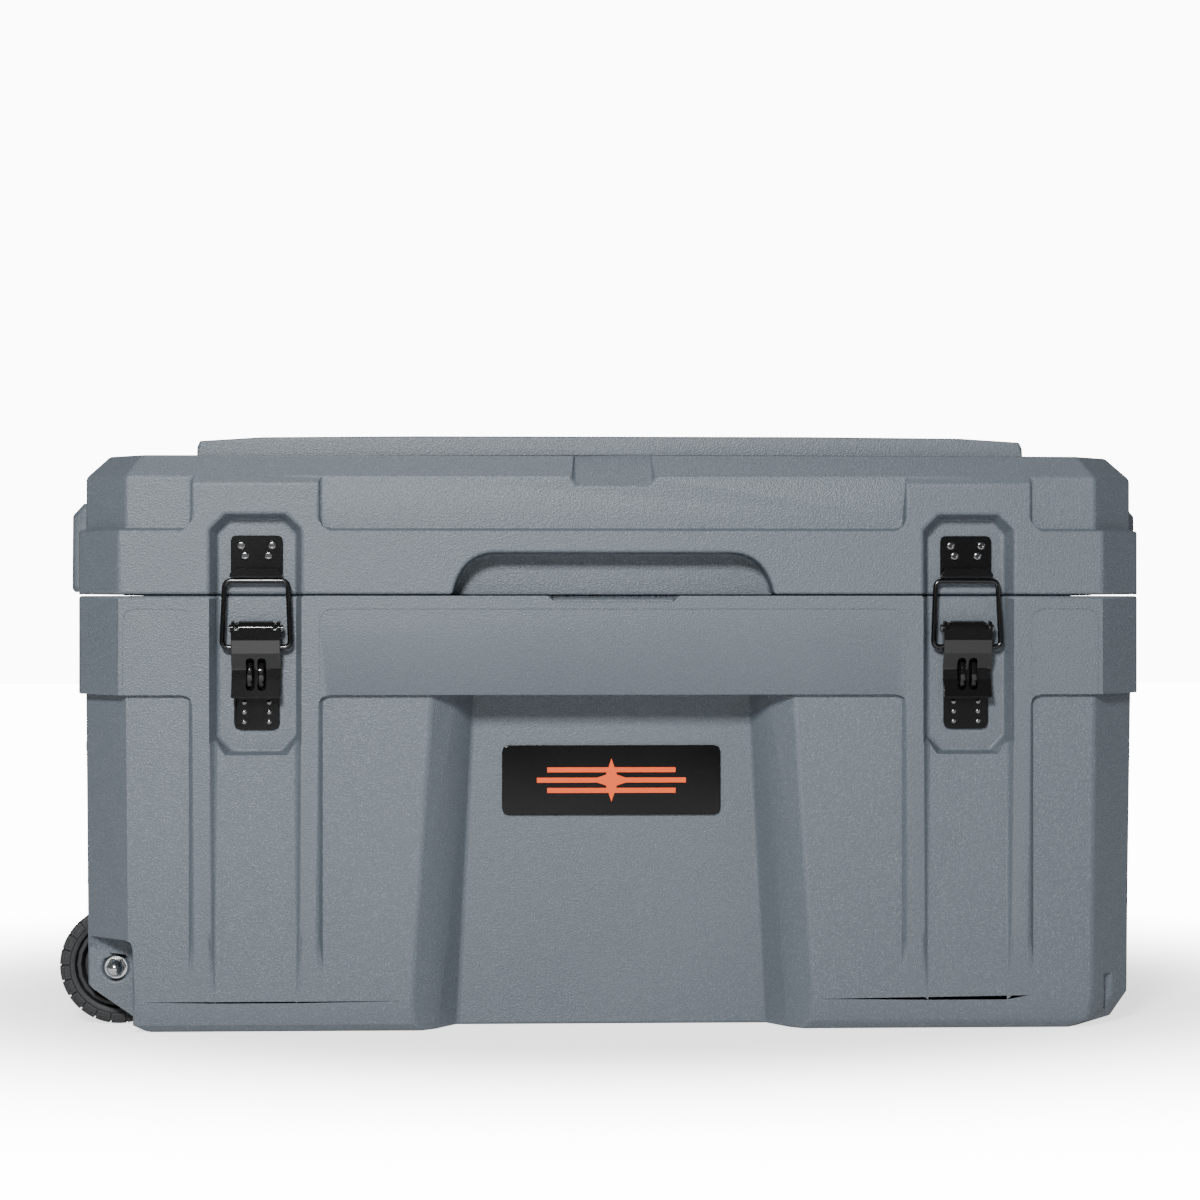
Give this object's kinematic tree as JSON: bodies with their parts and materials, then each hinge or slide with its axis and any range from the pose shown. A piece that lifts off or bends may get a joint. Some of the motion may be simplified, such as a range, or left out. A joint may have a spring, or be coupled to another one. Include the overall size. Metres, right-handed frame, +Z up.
{
  "type": "wheeled cooler",
  "caption": "Hard-sided wheeled cooler: foam-cored moulded case, hinged gasketed lid, draw latches, two wheels on an axle, carry and tow handles, drain.",
  "frame": {"origin": "on the floor under the middle of the whole part", "axes": "+X right with the wheels at -X, -Y the front with the latches, +Z up"},
  "size_m": [0.8573, 0.46, 0.4568],
  "materials": {
    "moulded": "pebbled slate-grey rotomoulded polyethylene, fine satin speckle",
    "foam": "rigid insulating foam, sealed inside the walls",
    "black_steel": "satin black powder coat on pressed steel",
    "stainless": "bright stainless steel",
    "tyre": "dark grey moulded rubber with a lugged tread",
    "rubber": "soft black rubber",
    "nylon": "black moulded nylon",
    "bush": "natural nylon bearing bush",
    "badge_black": "gloss black moulded plate",
    "badge_orange": "raised orange emblem, satin"
  },
  "bodies": {
    "case": {"body_shell": "moulded", "storage_liner": "moulded", "body_foam": "foam", "body_fill_plug": "nylon", "badge_plate": "badge_black", "badge_emblem": "badge_orange", "axle_rod": "stainless", "axle_washer_front": "stainless", "axle_nut_front": "stainless", "axle_washer_rear": "stainless", "axle_nut_rear": "stainless", "drain_bush": "nylon", "latch_left_base": "black_steel", "latch_left_base_rivets": "black_steel", "latch_left_staple": "black_steel", "latch_left_lever_pin": "black_steel", "hinge_left_body_leaf": "black_steel", "hinge_left_body_screws": "stainless", "hinge_left_pin": "stainless", "latch_right_base": "black_steel", "latch_right_base_rivets": "black_steel", "latch_right_staple": "black_steel", "latch_right_lever_pin": "black_steel", "hinge_right_body_leaf": "black_steel", "hinge_right_body_screws": "stainless", "hinge_right_pin": "stainless", "carry_handle_bracket_front": "black_steel", "carry_handle_bracket_rear": "black_steel", "tow_handle_bracket_front": "black_steel", "tow_handle_bracket_rear": "black_steel"},
    "lid": {"lid_shell": "moulded", "lid_foam": "foam", "lid_fill_plug": "nylon", "lid_gasket": "rubber", "latch_left_keeper": "black_steel", "latch_left_keeper_screws": "black_steel", "hinge_left_lid_leaf": "black_steel", "hinge_left_lid_screws": "stainless", "latch_right_keeper": "black_steel", "latch_right_keeper_screws": "black_steel", "hinge_right_lid_leaf": "black_steel", "hinge_right_lid_screws": "stainless"},
    "latch_left_lever": {"latch_left_lever": "black_steel"},
    "latch_left_bail": {"latch_left_bail": "black_steel"},
    "latch_right_lever": {"latch_right_lever": "black_steel"},
    "latch_right_bail": {"latch_right_bail": "black_steel"},
    "wheel_front": {"wheel_front_tyre": "tyre", "wheel_front_hub": "nylon", "wheel_front_bush": "bush"},
    "wheel_rear": {"wheel_rear_tyre": "tyre", "wheel_rear_hub": "nylon", "wheel_rear_bush": "bush"},
    "carry_handle": {"carry_handle_frame": "black_steel", "carry_handle_grip": "rubber"},
    "tow_handle": {"tow_handle_frame": "black_steel", "tow_handle_grip": "rubber"},
    "drain_seal": {"drain_seal": "rubber"},
    "drain_plug": {"drain_plug": "nylon"}
  },
  "joints": [
    {"name": "lid_hinge", "type": "hinge", "parent": "case", "child": "lid", "pos_m": [0, 0.22515, 0.33375], "axis": [-1, 0, 0], "range_deg": [0, 100]},
    {"name": "latch_left_lever_swing", "type": "hinge", "parent": "case", "child": "latch_left_lever", "pos_m": [-0.2725, -0.22275, 0.30825], "axis": [-1, 0, 0], "range_deg": [0, 120]},
    {"name": "latch_left_bail_swing", "type": "hinge", "parent": "latch_left_lever", "child": "latch_left_bail", "pos_m": [-0.2725, -0.22275, 0.29395], "axis": [-1, 0, 0], "range_deg": [-156, 0]},
    {"name": "latch_right_lever_swing", "type": "hinge", "parent": "case", "child": "latch_right_lever", "pos_m": [0.2725, -0.22275, 0.30825], "axis": [-1, 0, 0], "range_deg": [0, 120]},
    {"name": "latch_right_bail_swing", "type": "hinge", "parent": "latch_right_lever", "child": "latch_right_bail", "pos_m": [0.2725, -0.22275, 0.29395], "axis": [-1, 0, 0], "range_deg": [-156, 0]},
    {"name": "wheel_front_spin", "type": "hinge", "parent": "case", "child": "wheel_front", "pos_m": [-0.383, -0.15615, 0.0463], "axis": [0, 1, 0], "continuous": true},
    {"name": "wheel_rear_spin", "type": "hinge", "parent": "case", "child": "wheel_rear", "pos_m": [-0.383, 0.14585, 0.0463], "axis": [0, 1, 0], "continuous": true},
    {"name": "carry_handle_swing", "type": "hinge", "parent": "case", "child": "carry_handle", "pos_m": [-0.414, -0.00515, 0.212], "axis": [0, 1, 0], "range_deg": [0, 95]},
    {"name": "tow_handle_swing", "type": "hinge", "parent": "case", "child": "tow_handle", "pos_m": [0.414, -0.00515, 0.236], "axis": [0, -1, 0], "range_deg": [0, 150]},
    {"name": "drain_seal_slide", "type": "slide", "parent": "case", "child": "drain_seal", "axis": [1, 0, 0], "range_m": [0, 0.003]},
    {"name": "drain_plug_turn", "type": "hinge", "parent": "drain_seal", "child": "drain_plug", "pos_m": [0.406, 0.14485, 0.054], "axis": [1, 0, 0], "range_deg": [0, 360]}
  ],
  "couplings": [
    {"joint": "latch_left_bail_swing", "follows": "latch_left_lever_swing", "ratio": -1.3},
    {"joint": "latch_right_bail_swing", "follows": "latch_right_lever_swing", "ratio": -1.3},
    {"joint": "drain_seal_slide", "follows": "drain_plug_turn", "m_per_rad": 0.000477}
  ]
}
